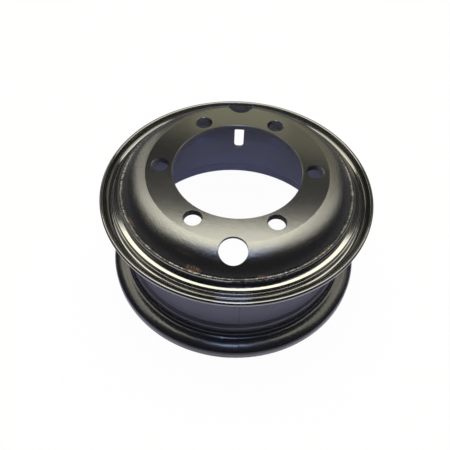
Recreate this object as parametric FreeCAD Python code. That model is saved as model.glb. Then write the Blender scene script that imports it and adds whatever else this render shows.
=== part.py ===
import FreeCAD, Part
import math
import os

# Forklift wheel lying on its fixed flange: rim base, pressed disc, weld bead, side ring and lock ring.
# The wheel axis is +Z, the resting plane is z = 0 and every size is in millimetres.

# Rim base: rolled steel band with a fixed flange below and a lock ring gutter above
seat_radius = 193.4
seat_taper = 5.0
base_thickness = 6.0
flange_height = 28.6
flange_tip_thickness = 6.4
flange_curl_radius = 9.0
flange_slope_width = 13.5
flange_slope_angle = 28.0
flange_bulge_radius = 30.0
seat_heel_height = 24.3
seat_heel_fillet = 8.0
lower_seat_width = 20.7
lower_slope_rise = 6.0
well_depth = 7.4
well_width = 65.0
well_ledge_round = 3.0
upper_slope_rise = 14.0
upper_seat_width = 31.6
well_blend_radius = 7.0
gutter_depth = 4.0
gutter_width = 10.6
gutter_wall = 3.8
gutter_lip_drop = 0.7
gutter_lip_width = 11.8
gutter_lip_round = 2.6
gutter_corner = 1.0

# Valve slot through the well, at the back of the wheel
slot_angle = 90.0
slot_width = 18.0
slot_length = 44.5
slot_rise = 44.5
slot_corner = 6.5

# Pressed disc: flat mounting face, rounded shoulder and a skirt inside the base
face_rise = 32.0
disc_thickness = 9.0
shoulder_radius = 50.0
crease_angle = 7.0
shoulder_angle = 66.0
skirt_blend_radius = 12.0
skirt_lap = 23.0
skirt_clearance = 0.1

# Centre bore and wheel bolts
bore_radius = 102.5
bore_chamfer = 1.0
bolt_circle = 245.0
bolt_count = 6
bolt_hole_radius = 13.5
bolt_hole_chamfer = 1.0

# Hand holes pierced square to the shoulder
hand_hole_radius = 21.0
hand_hole_slope = 21.8
hand_hole_angles = (-90.0, 90.0)

# Weld bead between the base's end and the disc
bead_leg = 4.6
bead_height = 5.2
bead_crown = 0.9

# Lock ring: split spring ring in the gutter, which holds the side ring down
lock_width = 7.2
lock_stand = 3.8
lock_toe_height = 4.4
lock_edge_round = 0.5
lock_clearance = 0.3
lock_split_angle = 83.0
lock_split_gap = 6.0

# Side ring: the removable upper flange
lip_thickness = 6.2
lip_round = 3.0
ring_curl_radius = 15.5
ring_drop = 3.8
ridge_width = 2.2
ridge_rise = 4.3
ridge_foot = 1.4
ridge_round = 1.2
ring_edge_round = 0.6
ring_base_clearance = 0.4
ring_seat_clearance = 0.05

# Places that follow from the sizes above
flange_radius = seat_radius + flange_height
bulge_radius = flange_radius - flange_slope_width
well_radius = seat_radius - well_depth
gutter_floor_radius = seat_radius - gutter_depth
gutter_lip_radius = seat_radius - gutter_lip_drop
base_end_radius = gutter_floor_radius - gutter_wall
lower_seat_top = seat_heel_height + lower_seat_width
well_bottom = lower_seat_top + lower_slope_rise
well_top = well_bottom + well_width
upper_seat_bottom = well_top + upper_slope_rise
gutter_floor_height = upper_seat_bottom + upper_seat_width
gutter_roof_height = gutter_floor_height + gutter_width
base_top = gutter_roof_height + gutter_lip_width
face_height = base_top + face_rise
skirt_bottom = base_top - skirt_lap
skirt_radius = base_end_radius - skirt_clearance
lock_body_radius = gutter_lip_radius + lock_clearance
lock_radius = lock_body_radius + lock_width
lock_top = gutter_roof_height + lock_stand
lock_step = gutter_floor_height + lock_toe_height

AXIS = FreeCAD.Vector(0, 0, 1)
ORIGIN = FreeCAD.Vector(0, 0, 0)
REACH = 2 * flange_radius


def point(radius, height):
    return FreeCAD.Vector(radius, 0, height)


def rounded_outline(corners):
    """Closed wire through (radius, height, fillet) corners, each rounded by its fillet."""
    edges = []
    count = len(corners)
    starts, ends, middles = [], [], []
    for i, (radius, height, fillet) in enumerate(corners):
        here = point(radius, height)
        back = (point(*corners[i - 1][:2]) - here).normalize()
        ahead = (point(*corners[(i + 1) % count][:2]) - here).normalize()
        if fillet <= 0:
            starts.append(here)
            ends.append(here)
            middles.append(None)
            continue
        half = back.getAngle(ahead) / 2
        reach = fillet / math.tan(half)
        bisector = (back + ahead).normalize()
        starts.append(here + back * reach)
        ends.append(here + ahead * reach)
        middles.append(here + bisector * (fillet / math.sin(half) - fillet))
    for i in range(count):
        if middles[i] is not None:
            edges.append(Part.Arc(starts[i], middles[i], ends[i]).toShape())
        following = starts[(i + 1) % count]
        if ends[i].distanceToPoint(following) > 1e-6:
            edges.append(Part.LineSegment(ends[i], following).toShape())
    return Part.Wire(edges)


def revolve(wire):
    solid = Part.Face(wire).revolve(ORIGIN, AXIS, 360)
    return Part.Solid(solid) if solid.ShapeType != "Solid" else solid


def turned(shape, angle):
    shape.rotate(ORIGIN, AXIS, angle)
    return shape


def seat_radius_at(height):
    return seat_radius - (height - seat_heel_height) * math.tan(math.radians(seat_taper))


def upper_seat_radius_at(height):
    return seat_radius - (gutter_floor_height - height) * math.tan(math.radians(seat_taper))


def flange_slope_at(radius):
    return seat_heel_height - (radius - bulge_radius) * math.tan(math.radians(flange_slope_angle))


def shoulder_centre():
    """Centre of the shoulder's arc, set so that the arc and its blend end on the skirt."""
    tilt = math.radians(shoulder_angle)
    blend_shift = shoulder_radius - skirt_blend_radius
    radius = skirt_radius - skirt_blend_radius - blend_shift * math.sin(tilt)
    return point(radius, face_height - shoulder_radius * math.cos(math.radians(crease_angle)))


def on_arc(centre, radius, angle):
    return centre + point(radius * math.sin(angle), radius * math.cos(angle))


def rim_base():
    tip_inner = flange_radius - flange_tip_thickness
    tip_round = 0.46 * flange_tip_thickness
    slope = math.radians(flange_slope_angle)
    face_width = bulge_radius - seat_radius
    heel = min(seat_heel_fillet, 0.6 * face_width)
    bulge = min(flange_bulge_radius, (face_width - heel) / math.tan(slope / 2))
    lip_height = flange_slope_at(flange_radius)
    curl = min(flange_curl_radius, 0.7 * flange_slope_width, lip_height - tip_round)
    under_face = seat_heel_height - base_thickness
    under_bulge = bulge_radius - base_thickness * math.tan(slope / 2)
    under_lip = flange_slope_at(tip_inner) - base_thickness / math.cos(slope)
    inner_bulge = max(bulge - base_thickness, 1.0)
    inner_curl = max(curl - flange_tip_thickness, 1.0)
    lower_inner = seat_radius_at(lower_seat_top) - base_thickness
    heel_inner = seat_radius - base_thickness
    end_inner = base_end_radius
    well_inner = well_radius - base_thickness
    corners = [
        (flange_radius, 0.0, tip_round),
        (flange_radius, lip_height, curl),
        (bulge_radius, seat_heel_height, bulge),
        (seat_radius, seat_heel_height, heel),
        (seat_radius_at(lower_seat_top), lower_seat_top, well_blend_radius),
        (well_radius, well_bottom, well_ledge_round),
        (well_radius, well_top, well_blend_radius),
        (upper_seat_radius_at(upper_seat_bottom), upper_seat_bottom, well_blend_radius),
        (upper_seat_radius_at(gutter_floor_height), gutter_floor_height, gutter_corner),
        (gutter_floor_radius, gutter_floor_height, gutter_corner),
        (gutter_floor_radius, gutter_roof_height, gutter_corner),
        (gutter_lip_radius, gutter_roof_height, gutter_corner),
        (gutter_lip_radius, base_top, gutter_lip_round),
        (end_inner, base_top, 0.0),
        (end_inner, upper_seat_bottom + base_thickness, well_blend_radius),
        (well_inner, well_top, well_blend_radius),
        (well_inner, well_bottom, well_blend_radius),
        (lower_inner, lower_seat_top - base_thickness / 3, well_blend_radius),
        (heel_inner, under_face, heel + base_thickness / 2),
        (under_bulge, under_face, inner_bulge),
        (tip_inner, under_lip, inner_curl),
        (tip_inner, 0.0, tip_round),
    ]
    base = revolve(rounded_outline(corners))
    return base.cut(valve_slot())


def valve_slot():
    slot = Part.makeBox(REACH, slot_width, slot_length,
                        FreeCAD.Vector(0, -slot_width / 2, well_bottom + slot_rise))
    long_edges = [e for e in slot.Edges if abs(e.tangentAt(e.FirstParameter).x) > 0.99]
    slot = slot.makeFillet(slot_corner, long_edges)
    return turned(slot, slot_angle)


def disc_section():
    """Outline of the pressed plate, its outer skin first and the inner skin at one plate thickness."""
    crease = math.radians(crease_angle)
    tilt = math.radians(shoulder_angle)
    centre = shoulder_centre()
    blend_centre = on_arc(centre, shoulder_radius - skirt_blend_radius, tilt)

    def skin(depth):
        shoulder = shoulder_radius - depth
        blend = skirt_blend_radius - depth
        start = math.acos((shoulder_radius * math.cos(crease) - depth) / shoulder)
        top = on_arc(centre, shoulder, start)
        bend = on_arc(centre, shoulder, tilt)
        side = on_arc(blend_centre, blend, math.pi / 2)
        shoulder_arc = Part.Arc(top, on_arc(centre, shoulder, (start + tilt) / 2), bend)
        blend_arc = Part.Arc(bend, on_arc(blend_centre, blend, (tilt + math.pi / 2) / 2), side)
        return top, side, [shoulder_arc.toShape(), blend_arc.toShape()]

    outer_top, outer_side, outer_arcs = skin(0.0)
    inner_top, inner_side, inner_arcs = skin(disc_thickness)
    outer_foot = point(outer_side.x, skirt_bottom)
    inner_foot = point(inner_side.x, skirt_bottom)
    bore_top = point(bore_radius, face_height)
    bore_low = point(bore_radius, face_height - disc_thickness)
    lines = [(bore_low, bore_top), (bore_top, outer_top), (outer_side, outer_foot),
             (outer_foot, inner_foot), (inner_foot, inner_side), (inner_top, bore_low)]
    edges = [Part.LineSegment(a, b).toShape() for a, b in lines]
    return Part.Wire(Part.__sortEdges__(edges + outer_arcs + inner_arcs))


def hand_hole(angle):
    slope = math.radians(hand_hole_slope)
    centre = on_arc(shoulder_centre(), shoulder_radius, slope)
    normal = point(math.sin(slope), math.cos(slope))
    depth = 3 * disc_thickness
    tool = Part.makeCylinder(hand_hole_radius, 2 * depth, centre - normal * depth, normal)
    return turned(tool, angle)


def bolt_hole(angle):
    centre = point(bolt_circle / 2, face_height - 2 * disc_thickness)
    tool = Part.makeCylinder(bolt_hole_radius, 3 * disc_thickness, centre, AXIS)
    wide = bolt_hole_radius + bolt_hole_chamfer
    mouth = Part.makeCone(bolt_hole_radius, wide, bolt_hole_chamfer,
                          point(bolt_circle / 2, face_height - bolt_hole_chamfer), AXIS)
    return turned(tool.fuse(mouth), angle)


def bore_mouth():
    return Part.makeCone(bore_radius, bore_radius + bore_chamfer, bore_chamfer,
                         point(0, face_height - bore_chamfer), AXIS)


def wheel_disc():
    disc = revolve(disc_section())
    cuts = [bore_mouth()]
    cuts += [hand_hole(angle) for angle in hand_hole_angles]
    cuts += [bolt_hole(360.0 * i / bolt_count) for i in range(bolt_count)]
    for cut in cuts:
        disc = disc.cut(cut)
    return disc


def disc_weld(base, disc):
    inner = skirt_radius - bead_leg
    outer = base_end_radius + bead_leg
    toe = point(outer, base_top)
    top = point(skirt_radius - bead_crown, base_top + bead_height)
    away = FreeCAD.Vector(top.z - toe.z, 0, toe.x - top.x).normalize()
    crown = (toe + top) * 0.5 + away * bead_crown
    edges = [
        Part.Arc(toe, crown, top).toShape(),
        Part.LineSegment(top, point(inner, base_top + bead_height)).toShape(),
        Part.LineSegment(point(inner, base_top + bead_height), point(inner, base_top)).toShape(),
        Part.LineSegment(point(inner, base_top), toe).toShape(),
    ]
    bead = revolve(Part.Wire(edges)).cut(disc).cut(base)
    return max(bead.Solids, key=lambda solid: solid.BoundBox.DiagonalLength)


def side_ring():
    lip_inner = flange_radius - lip_thickness
    flange_inner = gutter_floor_height - ring_drop
    lip_top = flange_inner + ring_curl_radius + lip_thickness / 2
    valley = flange_inner + lip_thickness
    bore = seat_radius + ring_base_clearance
    step = lock_radius + lock_clearance
    seat = lock_step - ring_seat_clearance
    ridge_radius = step + ridge_width
    ridge_height = lock_step + ridge_rise
    corners = [
        (flange_radius, flange_inner, ring_curl_radius),
        (flange_radius, lip_top, lip_round),
        (lip_inner, lip_top, lip_round),
        (lip_inner, valley, ring_curl_radius - lip_thickness),
        (ridge_radius + ridge_foot, valley, ridge_foot),
        (ridge_radius, ridge_height, ridge_round),
        (step, ridge_height, ring_edge_round),
        (step, seat, ring_edge_round),
        (bore, seat, ring_edge_round),
        (bore, flange_inner, ring_edge_round),
    ]
    return revolve(rounded_outline(corners))


def lock_ring():
    inner = gutter_floor_radius + lock_clearance
    toe = lock_body_radius + lock_clearance
    foot = gutter_floor_height + lock_clearance
    shoulder = gutter_roof_height - lock_clearance
    corners = [
        (lock_body_radius, lock_top, lock_edge_round),
        (lock_radius, lock_top, lock_edge_round),
        (lock_radius, lock_step, lock_edge_round),
        (toe, lock_step, 0.0),
        (toe, foot, lock_edge_round),
        (inner, foot, lock_edge_round),
        (inner, shoulder, lock_edge_round),
        (lock_body_radius, shoulder, 0.0),
    ]
    ring = revolve(rounded_outline(corners))
    gap = Part.makeBox(REACH, lock_split_gap, base_top, FreeCAD.Vector(0, -lock_split_gap / 2, 0))
    return ring.cut(turned(gap, lock_split_angle))


def main():
    os.makedirs("parts", exist_ok=True)
    base = rim_base()
    disc = wheel_disc()
    nodes = {
        "rim_base": base,
        "wheel_disc": disc,
        "disc_weld": disc_weld(base, disc),
        "side_ring": side_ring(),
        "lock_ring": lock_ring(),
    }
    for name, shape in nodes.items():
        shape.exportStep("parts/%s.step" % name)
        print(name, shape.isValid(), len(shape.Solids), round(shape.Volume / 1000, 1), "cm3")


main()
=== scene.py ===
import math
import bpy
from mathutils import Matrix, Vector


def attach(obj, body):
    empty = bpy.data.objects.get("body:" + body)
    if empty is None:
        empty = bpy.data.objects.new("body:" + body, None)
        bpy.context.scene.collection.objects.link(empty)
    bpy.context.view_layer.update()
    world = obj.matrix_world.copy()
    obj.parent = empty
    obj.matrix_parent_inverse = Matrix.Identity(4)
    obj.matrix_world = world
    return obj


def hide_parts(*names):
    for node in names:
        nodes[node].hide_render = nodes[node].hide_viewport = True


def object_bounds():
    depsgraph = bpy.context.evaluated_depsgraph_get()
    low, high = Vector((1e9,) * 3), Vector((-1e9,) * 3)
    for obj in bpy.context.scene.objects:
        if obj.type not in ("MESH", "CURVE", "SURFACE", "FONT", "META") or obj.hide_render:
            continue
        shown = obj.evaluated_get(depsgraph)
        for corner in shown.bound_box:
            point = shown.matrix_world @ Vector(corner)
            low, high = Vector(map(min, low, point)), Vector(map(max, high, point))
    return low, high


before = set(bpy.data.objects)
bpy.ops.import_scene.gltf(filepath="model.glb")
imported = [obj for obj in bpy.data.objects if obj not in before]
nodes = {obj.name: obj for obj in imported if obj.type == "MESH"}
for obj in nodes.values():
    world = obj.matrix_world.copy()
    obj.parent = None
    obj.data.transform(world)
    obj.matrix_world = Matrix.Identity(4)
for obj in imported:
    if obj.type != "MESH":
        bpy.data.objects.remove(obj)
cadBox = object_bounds()
print("frame loaded:", ", ".join(sorted(nodes)))


# a socket that can be used in plain expressions
class Value:
    def __init__(self, tree, socket):
        self.tree = tree
        self.socket = socket

    def math(self, operation, other=None, swap=False):
        made = self.tree.nodes.new("ShaderNodeMath")
        made.operation = operation
        for slot, item in zip((1, 0) if swap else (0, 1), (self, other)):
            if isinstance(item, Value):
                self.tree.links.new(item.socket, made.inputs[slot])
            elif item is not None:
                made.inputs[slot].default_value = item
        return Value(self.tree, made.outputs[0])

    def __add__(self, other):
        return self.math("ADD", other)

    def __sub__(self, other):
        return self.math("SUBTRACT", other)

    def __rsub__(self, other):
        return self.math("SUBTRACT", other, swap=True)

    def __mul__(self, other):
        return self.math("MULTIPLY", other)

    def __truediv__(self, other):
        return self.math("DIVIDE", other)

    def rise(self, low, high):  # 0 below low, 1 above high, smooth between
        made = self.tree.nodes.new("ShaderNodeMapRange")
        made.interpolation_type = "SMOOTHSTEP"
        self.tree.links.new(self.socket, made.inputs["Value"])
        made.inputs["From Min"].default_value = low
        made.inputs["From Max"].default_value = high
        return Value(self.tree, made.outputs["Result"])


# the x, y and z of a place or a direction
def axes(place):
    split = place.tree.nodes.new("ShaderNodeSeparateXYZ")
    place.tree.links.new(place.socket, split.inputs[0])
    return [Value(place.tree, part) for part in split.outputs]


# distance from the wheel's axis
def fromAxis(x, y):
    return (x * x + y * y).math("SQRT")


# a material under construction: its nodes, and the shader that ends it
class Finish:
    def __init__(self, name):
        self.material = bpy.data.materials.new(name)
        self.material.use_nodes = True
        self.tree = self.material.node_tree
        self.tree.nodes.clear()
        self.output = self.tree.nodes.new("ShaderNodeOutputMaterial")

    def node(self, kind, settings=None, inputs=None, out=0):
        made = self.tree.nodes.new(kind)
        for key, item in (settings or {}).items():
            setattr(made, key, item)
        for key, item in (inputs or {}).items():
            if isinstance(item, Value):
                self.tree.links.new(item.socket, made.inputs[key])
            else:
                made.inputs[key].default_value = item
        return Value(self.tree, made.outputs[out])

    def finish(self, shader):
        self.tree.links.new(shader.socket, self.output.inputs["Surface"])
        return self.material

    def place(self):
        return self.node("ShaderNodeTexCoord", out="Object")

    def noise(self, place, scale, detail=2.0, rough=0.5):
        return self.node("ShaderNodeTexNoise", inputs={"Vector": place, "Scale": scale, "Detail": detail,
                                                       "Roughness": rough}, out="Fac")

    def blend(self, share, first, second):
        return self.node("ShaderNodeMix", {"data_type": "RGBA"}, {0: share, 6: first, 7: second}, out=2)


paint = {
    "black": (0.008, 0.008, 0.009, 1),
    "dust": (0.075, 0.07, 0.06, 1),
    "dustShare": 0.10,
    "smudgeScale": 14.0,
    "smudgeGloss": 0.06,
    "speckleScale": 480.0,
    "peelScale": 90.0,
    "peelDepth": 0.00003,
    "coatGloss": 0.08,
}


# black paint with faint dust, uneven gloss and orange peel, which each finish builds on
def paintBase(name, gloss):
    made = Finish(name)
    place = made.place()
    smudge = made.noise(place, paint["smudgeScale"], 3.0, 0.6)
    speckle = made.noise(place, paint["speckleScale"], 2.0, 0.6)
    peel = made.noise(place, paint["peelScale"], 2.0, 0.45)
    dust = smudge.rise(0.5, 0.78) * speckle.rise(0.46, 0.68) * paint["dustShare"]
    colour = made.blend(dust, paint["black"], paint["dust"])
    gloss = (smudge - 0.5) * paint["smudgeGloss"] + gloss
    return made, place, colour, gloss, peel * paint["peelDepth"]


# gloss is a roughness, shine and coatShine are refractive indices
def paintEnd(made, colour, gloss, height, coat, shine=1.8, coatShine=1.5):
    bump = made.node("ShaderNodeBump", None, {"Height": height, "Strength": 1.0, "Distance": 1.0},
                     out="Normal")
    return made.finish(made.node("ShaderNodeBsdfPrincipled", None, {
        "Base Color": colour, "Roughness": gloss, "Normal": bump, "IOR": shine, "Specular IOR Level": 1.0,
        "Coat Weight": coat, "Coat Roughness": paint["coatGloss"], "Coat IOR": coatShine}))


# how far the surface faces the axis, in metres of radius, and how far it faces up
def facing(made, x, y):
    nx, ny, nz = axes(made.node("ShaderNodeNewGeometry", out="Normal"))
    return 0 - (nx * x + ny * y), nz


rust = {
    "colour": (0.30, 0.165, 0.080, 1),
    "fleckScale": 430.0,
    "fleckEdge": (0.45, 0.54),
    "dullness": 0.3,
    "marks": [  # angle, radius, height, reach along the weld, reach across it, strength
        (-107.5, 0.1836, 0.1882, 0.0165, 0.0062, 1.0),
        (-147.5, 0.1835, 0.1885, 0.0150, 0.0050, 0.9),
        (-77.0, 0.1850, 0.1860, 0.0120, 0.0030, 0.7),
        (-44.5, 0.1845, 0.1860, 0.0160, 0.0030, 0.5),
        (-113.0, 0.1729, 0.2029, 0.0240, 0.0022, 0.12),
        (166.0, 0.1835, 0.1890, 0.0200, 0.0040, 0.6),
    ],
}


# speckled rust where the paint is thin along the weld
def rusted(made, place, colour, gloss):
    x, y, z = axes(place)
    fleck = made.noise(place, rust["fleckScale"], 4.0, 0.75).rise(*rust["fleckEdge"])
    for angle, radius, height, along, across, strength in rust["marks"]:
        turn = math.radians(angle)
        dx = x - radius * math.cos(turn)
        dy = y - radius * math.sin(turn)
        dz = z - height
        run = dy * math.cos(turn) - dx * math.sin(turn)
        stretch = 1 / along ** 2 - 1 / across ** 2
        reach = (dx * dx + dy * dy + dz * dz) / across ** 2 + run * run * stretch
        mark = (1 - reach.rise(0.1, 1.0)) * fleck * strength
        colour = made.blend(mark, colour, rust["colour"])
        gloss = gloss + mark * rust["dullness"]
    return colour, gloss


ringLook = {"gloss": 0.08, "coatShine": 2.0, "sideCoat": 0.2, "lockCoat": 1.0}


def ringPaint(name, coat):
    made, place, colour, gloss, height = paintBase(name, ringLook["gloss"])
    return paintEnd(made, colour, gloss, height, coat, coatShine=ringLook["coatShine"])


disc = {
    "gloss": 0.14,
    "coat": 0.08,
    "crease": 0.14488,
    "creaseEdge": 0.0005,
    "shoulderFoot": (0.166, 0.174),
    "grainScale": 520.0,
    "grainDepth": 0.0005,
    "faceGrain": 0.04,
    "speckScale": 800.0,
    "speckEdge": (0.50, 0.62),
    "speckCoat": 0.7,
    # painted sheen colour for the faces that point inward or down
    "underSheen": (0.080, 0.080, 0.100, 1),
    "underGloss": 0.12,
    "inwardEdge": (0.03, 0.08),
    "downEdge": (0.2, 0.6),
}


# smooth face, grained and glinting shoulder outside the crease; painted sheen: faces of the pressing that
# point inward or down are painted a lighter blue-grey
def discPaint(name):
    made, place, colour, gloss, height = paintBase(name, disc["gloss"])
    x, y, z = axes(place)
    inward, upward = facing(made, x, y)
    # painted sheen: faces that point inward or down are lightened blue-grey
    underSheen = inward.rise(*disc["inwardEdge"]).math("MAXIMUM", (0 - upward).rise(*disc["downEdge"]))
    colour = made.blend(underSheen, colour, disc["underSheen"])
    gloss = gloss + underSheen * disc["underGloss"]
    outside = fromAxis(x, y).rise(disc["crease"] - disc["creaseEdge"], disc["crease"] + disc["creaseEdge"])
    shoulder = outside * z.rise(*disc["shoulderFoot"])
    grain = made.noise(place, disc["grainScale"], 4.0, 0.6) - 0.5
    share = shoulder * (1 - disc["faceGrain"]) + disc["faceGrain"]
    height = height + grain * share * disc["grainDepth"]
    specks = made.noise(place, disc["speckScale"], 2.0, 0.6).rise(*disc["speckEdge"])
    colour, gloss = rusted(made, place, colour, gloss)
    return paintEnd(made, colour, gloss, height, shoulder * specks * disc["speckCoat"] + disc["coat"])


band = {
    "gloss": 0.21,
    "shine": 1.42,
    # painted reflection: blue-grey floor sheen colour for the well
    "floorSheen": (0.125, 0.125, 0.215, 1),
    "satinGloss": 0.48,
    "satinSheenStart": (0.024, 0.066),
    "satinSheenEnd": (0.150, 0.160),
    "flangeSatinSheen": 0.07,
    # painted reflection: lighter blue floor sheen colour for the inward faces
    "inside": (0.310, 0.320, 0.510, 1),
    "inwardEdge": (0.0, 0.05),
    "seams": [(-85.5, 0.0013, 0.00050), (-88.3, 0.0009, 0.00016)],  # angle, half width, bump
    "seamSide": (0.1, 0.12),
    "seamFade": (0.026, 0.034),
    "flangeSeam": 0.3,
    "seamDarkness": 900.0,
    "ledge": 0.0508,
    "ledgeLine": (0.0002, 0.0014),
    # painted shade along the well's corner
    "ledgeShade": 0.6,
}


# painted reflection: a pale blue sheen painted into the well, on the band's inward faces and as a trace
# everywhere else, the flange included, stands in for the floor seen in the black paint; the same places get a
# rougher satin finish
def bandPaint(name):
    made, place, colour, gloss, height = paintBase(name, band["gloss"])
    x, y, z = axes(place)
    # painted reflection: the well's height band and the inward faces get the floor sheen as colour, with a
    # rougher satin finish
    body = z.rise(*band["satinSheenStart"]) * (1 - z.rise(*band["satinSheenEnd"]))
    inside = facing(made, x, y)[0].rise(*band["inwardEdge"])
    satinAndSheen = body.math("MAXIMUM", inside).math("MAXIMUM", band["flangeSatinSheen"])
    # painted reflection: blue-grey sheen colour, lighter still on inward faces
    colour = made.blend(satinAndSheen, colour, band["floorSheen"])
    colour = made.blend(inside, colour, band["inside"])
    gloss = gloss + satinAndSheen * (band["satinGloss"] - band["gloss"])
    # ground butt weld across the rolled band, nearly flat on the flange
    fade = z.rise(*band["seamFade"]) * (1 - band["flangeSeam"]) + band["flangeSeam"]
    for angle, width, depth in band["seams"]:
        turn = math.radians(angle)
        across = (x * -math.sin(turn) + y * math.cos(turn)).math("ABSOLUTE")
        side = (x * math.cos(turn) + y * math.sin(turn)).rise(*band["seamSide"])
        line = (1 - across.rise(0.0, width)) * side * fade
        height = height + line * depth
        colour = made.blend(line * (depth * band["seamDarkness"]), colour, paint["black"])
    # painted shade: a dark line along the well's corner
    corner = 1 - (z - band["ledge"]).math("ABSOLUTE").rise(*band["ledgeLine"])
    colour = made.blend(corner * band["ledgeShade"], colour, paint["black"])
    return paintEnd(made, colour, gloss, height, 0.0, shine=band["shine"])


weldLook = {"gloss": 0.20, "shine": 1.3, "coatShine": 1.9, "lumpScale": 300.0, "lumpEdge": (0.46, 0.56)}


# bright crests on the ripples, dull between them
def weldPaint(name):
    made, place, colour, gloss, height = paintBase(name, weldLook["gloss"])
    colour, gloss = rusted(made, place, colour, gloss)
    lumps = made.noise(place, weldLook["lumpScale"], 3.0, 0.6).rise(*weldLook["lumpEdge"])
    return paintEnd(made, colour, gloss, height, lumps, weldLook["shine"], weldLook["coatShine"])


finishes = {
    "rim_base": bandPaint("bandPaint"),
    "wheel_disc": discPaint("discPaint"),
    "disc_weld": weldPaint("weldPaint"),
    "side_ring": ringPaint("sideRingPaint", ringLook["sideCoat"]),
    "lock_ring": ringPaint("lockRingPaint", ringLook["lockCoat"]),
}

smoothing = {"mergeDistance": 1e-5, "sharpAngle": math.radians(42.0), "creaseBand": 0.0004,
             "normalWeight": 80}


# rounds are shaded smooth and real edges stay sharp; the meshes themselves stay as loaded from model.glb
def smoothTree():
    tree = bpy.data.node_groups.new("smoothSkin", "GeometryNodeTree")
    tree.interface.new_socket("Geometry", in_out="INPUT", socket_type="NodeSocketGeometry")
    tree.interface.new_socket("Geometry", in_out="OUTPUT", socket_type="NodeSocketGeometry")
    start = tree.nodes.new("NodeGroupInput")
    end = tree.nodes.new("NodeGroupOutput")
    merge = tree.nodes.new("GeometryNodeMergeByDistance")
    merge.inputs["Distance"].default_value = smoothing["mergeDistance"]
    faces = tree.nodes.new("GeometryNodeSetShadeSmooth")
    edges = tree.nodes.new("GeometryNodeSetShadeSmooth")
    edges.domain = "EDGE"
    angle = tree.nodes.new("GeometryNodeInputMeshEdgeAngle")
    test = tree.nodes.new("FunctionNodeCompare")
    test.operation = "LESS_EQUAL"
    test.inputs[1].default_value = smoothing["sharpAngle"]
    tree.links.new(start.outputs[0], merge.inputs["Geometry"])
    tree.links.new(merge.outputs[0], faces.inputs["Geometry"])
    tree.links.new(faces.outputs[0], edges.inputs["Geometry"])
    tree.links.new(angle.outputs["Unsigned Angle"], test.inputs[0])
    # the disc's shallow crease stays sharp too
    x, y, z = axes(Value(tree, tree.nodes.new("GeometryNodeInputPosition").outputs[0]))
    off = (fromAxis(x, y) - disc["crease"]).math("ABSOLUTE")
    high = z.math("GREATER_THAN", cadBox[1][2] - smoothing["creaseBand"])
    crease = off.math("LESS_THAN", smoothing["creaseBand"]) * high
    rounded = Value(tree, test.outputs[0]) * (1 - crease)
    tree.links.new(rounded.socket, edges.inputs["Shade Smooth"])
    tree.links.new(edges.outputs[0], end.inputs[0])
    return tree


# large flat faces lead the normals beside them
def evenNormals(piece):
    weights = piece.modifiers.new("evenNormals", "WEIGHTED_NORMAL")
    weights.keep_sharp = True
    weights.weight = smoothing["normalWeight"]


skin = smoothTree()
for name, node in nodes.items():
    node.data.materials.clear()
    node.data.materials.append(finishes[name])
    node.modifiers.new("smoothSkin", "NODES").node_group = skin
    evenNormals(node)
print("paint on", len(nodes), "nodes")


bead = {"radius": 0.1868, "height": 0.1815, "thickness": 0.0034, "around": 1440, "sides": 12,
        "ripples": 300, "rippleDepth": 0.0007, "wander": 0.0016, "seed": 4,
        "lean": 120.0, "wanderScale": 130.0, "wanderDetail": 3.0}


# a tube along the joint with a rounded step for each ripple
def beadTree():
    tree = bpy.data.node_groups.new("rippledBead", "GeometryNodeTree")
    tree.interface.new_socket("Geometry", in_out="OUTPUT", socket_type="NodeSocketGeometry")
    slots = {}
    for key in ("radius", "height", "thickness", "ripples", "rippleDepth", "wander", "seed"):
        slots[key] = tree.interface.new_socket(key, in_out="INPUT", socket_type="NodeSocketFloat").identifier
    start = tree.nodes.new("NodeGroupInput")
    size = {key: Value(tree, start.outputs[key]) for key in slots}
    path = tree.nodes.new("GeometryNodeCurvePrimitiveCircle")
    path.inputs["Resolution"].default_value = bead["around"]
    section = tree.nodes.new("GeometryNodeCurvePrimitiveCircle")
    section.inputs["Resolution"].default_value = bead["sides"]
    tube = tree.nodes.new("GeometryNodeCurveToMesh")
    tree.links.new(size["radius"].socket, path.inputs["Radius"])
    tree.links.new(size["thickness"].socket, section.inputs["Radius"])
    tree.links.new(path.outputs["Curve"], tube.inputs["Curve"])
    tree.links.new(section.outputs["Curve"], tube.inputs["Profile Curve"])

    x, y, z = axes(Value(tree, tree.nodes.new("GeometryNodeInputPosition").outputs[0]))
    turns = y.math("ARCTAN2", x) / (2 * math.pi)
    rough = tree.nodes.new("ShaderNodeTexNoise")
    rough.noise_dimensions = "4D"
    rough.inputs["Scale"].default_value = bead["wanderScale"]
    rough.inputs["Detail"].default_value = bead["wanderDetail"]
    tree.links.new(size["seed"].socket, rough.inputs["W"])
    uneven = Value(tree, rough.outputs[0]) - 0.5
    phase = (turns * size["ripples"] + z * bead["lean"]).math("FRACT")
    swell = (phase - phase * phase) * 4.0 * size["rippleDepth"] + uneven * size["wander"]
    normal = tree.nodes.new("GeometryNodeInputNormal")
    push = tree.nodes.new("ShaderNodeVectorMath")
    push.operation = "SCALE"
    tree.links.new(normal.outputs[0], push.inputs[0])
    tree.links.new(swell.socket, push.inputs["Scale"])
    shaped = tree.nodes.new("GeometryNodeSetPosition")
    tree.links.new(tube.outputs[0], shaped.inputs["Geometry"])
    tree.links.new(push.outputs[0], shaped.inputs["Offset"])

    lift = tree.nodes.new("ShaderNodeCombineXYZ")
    tree.links.new(size["height"].socket, lift.inputs["Z"])
    raised = tree.nodes.new("GeometryNodeSetPosition")
    tree.links.new(shaped.outputs[0], raised.inputs["Geometry"])
    tree.links.new(lift.outputs[0], raised.inputs["Offset"])
    smooth = tree.nodes.new("GeometryNodeSetShadeSmooth")
    real = tree.nodes.new("GeometryNodeRealizeInstances")
    coat = tree.nodes.new("GeometryNodeSetMaterial")
    coat.inputs["Material"].default_value = finishes["disc_weld"]
    end = tree.nodes.new("NodeGroupOutput")
    for one, two in zip((raised, smooth, real, coat), (smooth, real, coat, end)):
        tree.links.new(one.outputs[0], two.inputs[0])
    return tree, slots


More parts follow.
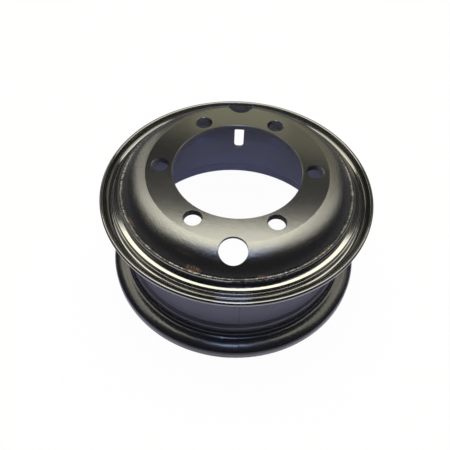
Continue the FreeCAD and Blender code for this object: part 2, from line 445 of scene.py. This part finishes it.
# runs a tree on an empty object and keeps the result as a plain mesh
def baked(name, tree, slots, sizes):
    holder = bpy.data.objects.new(name + "Holder", bpy.data.meshes.new(name + "Holder"))
    bpy.context.scene.collection.objects.link(holder)
    maker = holder.modifiers.new(name, "NODES")
    maker.node_group = tree
    for key, identifier in slots.items():
        maker[identifier] = sizes[key]
    shaped = holder.evaluated_get(bpy.context.evaluated_depsgraph_get())
    piece = bpy.data.objects.new(name, bpy.data.meshes.new_from_object(shaped))
    bpy.context.scene.collection.objects.link(piece)
    bpy.data.objects.remove(holder)
    return piece


weldBead = baked("weldBead", *beadTree(), {key: float(item) for key, item in bead.items()})
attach(weldBead, "root")
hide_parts("disc_weld")
print("weld bead:", len(weldBead.data.polygons), "faces")


rings = {  # corners are radius, height and round, in millimetres; the gap is where the ring is split
    "sideRing": {
        "node": "side_ring", "around": 540, "arcStep": 9.0, "gap": 0.0, "gapAngle": 0.0,
        "corners": [
            (221.98, 157.8, 15.5), (221.98, 176.4, 3.0), (215.8, 176.4, 3.0), (215.8, 164.0, 9.3),
            (204.1, 164.0, 1.4), (202.7, 170.3, 1.2), (200.5, 170.3, 0.6), (200.5, 165.95, 0.6),
            (193.8, 165.95, 0.6), (193.8, 157.8, 0.6),
        ],
    },
    "lockRing": {
        "node": "lock_ring", "around": 540, "arcStep": 15.0, "gap": 6.0, "gapAngle": 83.0,
        "corners": [
            (193.0, 176.0, 0.5), (200.2, 176.0, 0.5), (200.2, 166.0, 0.5), (193.3, 166.0, 0.0),
            (193.3, 161.9, 0.5), (189.7, 161.9, 0.5), (189.7, 171.9, 0.5), (193.0, 171.9, 0.0),
        ],
    },
}


# the section's outline with each corner turned into short steps round its arc
def roundedSection(corners, arcStep):
    section = []
    for i, (radius, height, fillet) in enumerate(corners):
        here = Vector((radius, height))
        back = (Vector(corners[i - 1][:2]) - here).normalized()
        ahead = (Vector(corners[(i + 1) % len(corners)][:2]) - here).normalized()
        if fillet == 0:
            section.append(here / 1000)
            continue
        half = back.angle(ahead) / 2
        centre = here + (back + ahead).normalized() * (fillet / math.sin(half))
        first = here + back * (fillet / math.tan(half)) - centre
        turn = math.pi - 2 * half
        side = 1 if back.x * ahead.y - back.y * ahead.x < 0 else -1
        steps = max(3, math.ceil(math.degrees(turn) / arcStep))
        for k in range(steps + 1):
            angle = side * turn * k / steps
            spoke = Vector((first.x * math.cos(angle) - first.y * math.sin(angle),
                            first.x * math.sin(angle) + first.y * math.cos(angle)))
            section.append((centre + spoke) / 1000)
    return section


# spins the section finely, so that the thin highlights run clean round the ring
def spunRing(name, look):
    section = roundedSection(look["corners"], look["arcStep"])
    around, count = look["around"], len(section)
    half = math.degrees(look["gap"] / 2 / look["corners"][0][0])
    sweep = 360 - 2 * half
    stops = around if half == 0 else around + 1
    points = []
    for i in range(stops):
        turn = math.radians(look["gapAngle"] + half + sweep * i / around)
        points += [(p.x * math.cos(turn), p.x * math.sin(turn), p.y) for p in section]
    faces = []
    for i in range(around):
        here, there = i * count, (i + 1) % stops * count
        for j in range(count):
            k = (j + 1) % count
            faces.append((here + j, there + j, there + k, here + k))
    if half > 0:
        faces.append(tuple(range(count)))
        faces.append(tuple(reversed(range(around * count, stops * count))))
    mesh = bpy.data.meshes.new(name)
    mesh.from_pydata(points, [], faces)
    mesh.shade_smooth()
    mesh.set_sharp_from_angle(angle=smoothing["sharpAngle"])
    mesh.materials.append(finishes[look["node"]])
    ring = bpy.data.objects.new(name, mesh)
    bpy.context.scene.collection.objects.link(ring)
    evenNormals(ring)
    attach(ring, "root")
    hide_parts(look["node"])
    print(name + ":", len(mesh.polygons), "faces")


for name, look in rings.items():
    spunRing(name, look)


floorLook = {"size": 14.0, "colour": (0.86, 0.86, 0.88, 1), "glow": 0.97, "shine": (0.78, 0.78, 0.90, 1),
             "farShine": (0.14, 0.14, 0.16, 1), "wheelEdge": (0.214, 0.226), "sheetEdge": (0.34, 0.62)}


# near white to the camera, and a pale cool floor in the paint's reflections
def floorMaterial():
    made = Finish("paleFloor")
    path = made.tree.nodes.new("ShaderNodeLightPath")
    camera = Value(made.tree, path.outputs["Is Camera Ray"])
    glossy = Value(made.tree, path.outputs["Is Glossy Ray"])
    diffuse = made.node("ShaderNodeBsdfDiffuse", None, {"Color": floorLook["colour"]})
    glow = made.node("ShaderNodeEmission", None, {"Color": (1, 1, 1, 1), "Strength": 1.0})
    x, y = axes(made.place())[:2]
    radius = fromAxis(x, y)  # bright round the wheel, dim elsewhere
    near = radius.rise(*floorLook["wheelEdge"]) * (1 - radius.rise(*floorLook["sheetEdge"]))
    tint = made.blend(near, floorLook["farShine"], floorLook["shine"])
    shine = made.node("ShaderNodeEmission", None, {"Color": tint, "Strength": 1.0})
    seen = made.node("ShaderNodeMixShader", None, {0: camera * floorLook["glow"], 1: diffuse, 2: glow})
    return made.finish(made.node("ShaderNodeMixShader", None, {0: glossy, 1: seen, 2: shine}))


def makeFloor():
    half = floorLook["size"] / 2
    mesh = bpy.data.meshes.new("floor")
    corners = [(-half, -half, 0), (half, -half, 0), (half, half, 0), (-half, half, 0)]
    mesh.from_pydata(corners, [], [(0, 1, 2, 3)])
    floor = bpy.data.objects.new("floor", mesh)
    bpy.context.scene.collection.objects.link(floor)
    mesh.materials.append(floorMaterial())


makeFloor()

cream = (1.0, 0.97, 0.80)
straw = (1.0, 0.95, 0.62)
flash = (0.54, 0.66, 1.0)
wheel = (0.0, 0.0, 0.2)
lamps = {  # glow is the brightness of a rectangular lamp's face; an oval one comes out 4 / pi times as bright
    "ceiling": {"place": (-0.05, 0.55, 2.25), "aim": (-0.05, 0.55, 0.0), "size": (4.9, 1.9),
                "glow": 1.9, "colour": cream},
    "ceilingLamp": {"place": (-0.08, 0.55, 2.2), "aim": (-0.08, 0.55, 0.0), "size": (2.1, 1.9),
                    "glow": 2.1, "colour": cream},
    "backWall": {"place": (0.54, 2.34, 1.17), "aim": wheel, "size": (3.0, 1.9),
                 "glow": 0.46, "colour": straw},
    "doorway": {"place": (0.0, 2.2, 1.1), "aim": wheel, "size": (0.62, 1.5),
                "glow": 0.35, "colour": straw},
    "leftPanel": {"place": (-1.29, 1.65, 1.05), "aim": wheel, "size": (0.89, 1.35),
                  "glow": 1.0, "colour": cream},
    "leftSide": {"place": (-1.75, 0.97, 1.65), "aim": wheel, "size": (0.8, 0.85),
                 "glow": 1.2, "colour": cream},
    "rightSide": {"place": (1.81, 0.845, 1.5), "aim": wheel, "size": (1.0, 0.85),
                  "glow": 1.1, "colour": cream},
    "cameraLamp": {"place": (0.02, -0.42, 1.05), "aim": (0.0, -0.1, 0.15), "size": (0.32, 0.14),
                   "glow": 10.5, "colour": flash, "shape": "ELLIPSE"},
}


def makeLamps():
    for name, look in lamps.items():
        data = bpy.data.lights.new(name, "AREA")
        data.shape = look.get("shape", "RECTANGLE")
        data.size, data.size_y = look["size"]
        data.energy = look["glow"] * math.pi * data.size * data.size_y
        data.color = look["colour"]
        lamp = bpy.data.objects.new(name, data)
        lamp.location = look["place"]
        lamp.rotation_euler = (Vector(look["aim"]) - lamp.location).to_track_quat("-Z", "Y").to_euler()
        bpy.context.scene.collection.objects.link(lamp)


worldLook = {"page": (1, 1, 1, 1), "room": (0.95, 0.97, 1.0, 1), "roomGlow": 0.05}


# a white page to the camera, and a dim room to everything else
def makeWorld():
    world = bpy.data.worlds.new("studio")
    world.use_nodes = True
    tree = world.node_tree
    tree.nodes.clear()
    out = tree.nodes.new("ShaderNodeOutputWorld")
    path = tree.nodes.new("ShaderNodeLightPath")
    room = tree.nodes.new("ShaderNodeBackground")
    room.inputs["Color"].default_value = worldLook["room"]
    room.inputs["Strength"].default_value = worldLook["roomGlow"]
    page = tree.nodes.new("ShaderNodeBackground")
    page.inputs["Color"].default_value = worldLook["page"]
    mix = tree.nodes.new("ShaderNodeMixShader")
    tree.links.new(path.outputs["Is Camera Ray"], mix.inputs[0])
    tree.links.new(room.outputs[0], mix.inputs[1])
    tree.links.new(page.outputs[0], mix.inputs[2])
    tree.links.new(mix.outputs[0], out.inputs["Surface"])
    bpy.context.scene.world = world


makeLamps()
makeWorld()

view = {"place": (0.0, -0.5595, 0.7706), "elevation": 51.343, "heading": -1.7733, "roll": 1.535,
        "lens": 39.724, "sensor": 36.0}


def makeCamera():
    up, turn, roll = (math.radians(view[key]) for key in ("elevation", "heading", "roll"))
    forward = Vector((math.sin(turn) * math.cos(up), math.cos(turn) * math.cos(up), -math.sin(up)))
    level = Vector((math.cos(turn), -math.sin(turn), 0))
    upright = level.cross(forward)
    right = level * math.cos(roll) + upright * math.sin(roll)
    top = right.cross(forward)
    data = bpy.data.cameras.new("photoCamera")
    data.lens = view["lens"]
    data.sensor_width = view["sensor"]
    camera = bpy.data.objects.new("photoCamera", data)
    camera.matrix_world = Matrix((right, top, -forward)).transposed().to_4x4()
    camera.location = view["place"]
    bpy.context.scene.collection.objects.link(camera)
    bpy.context.scene.camera = camera


makeCamera()
bpy.context.scene.view_settings.view_transform = "Standard"
print("camera, lamps and floor set")
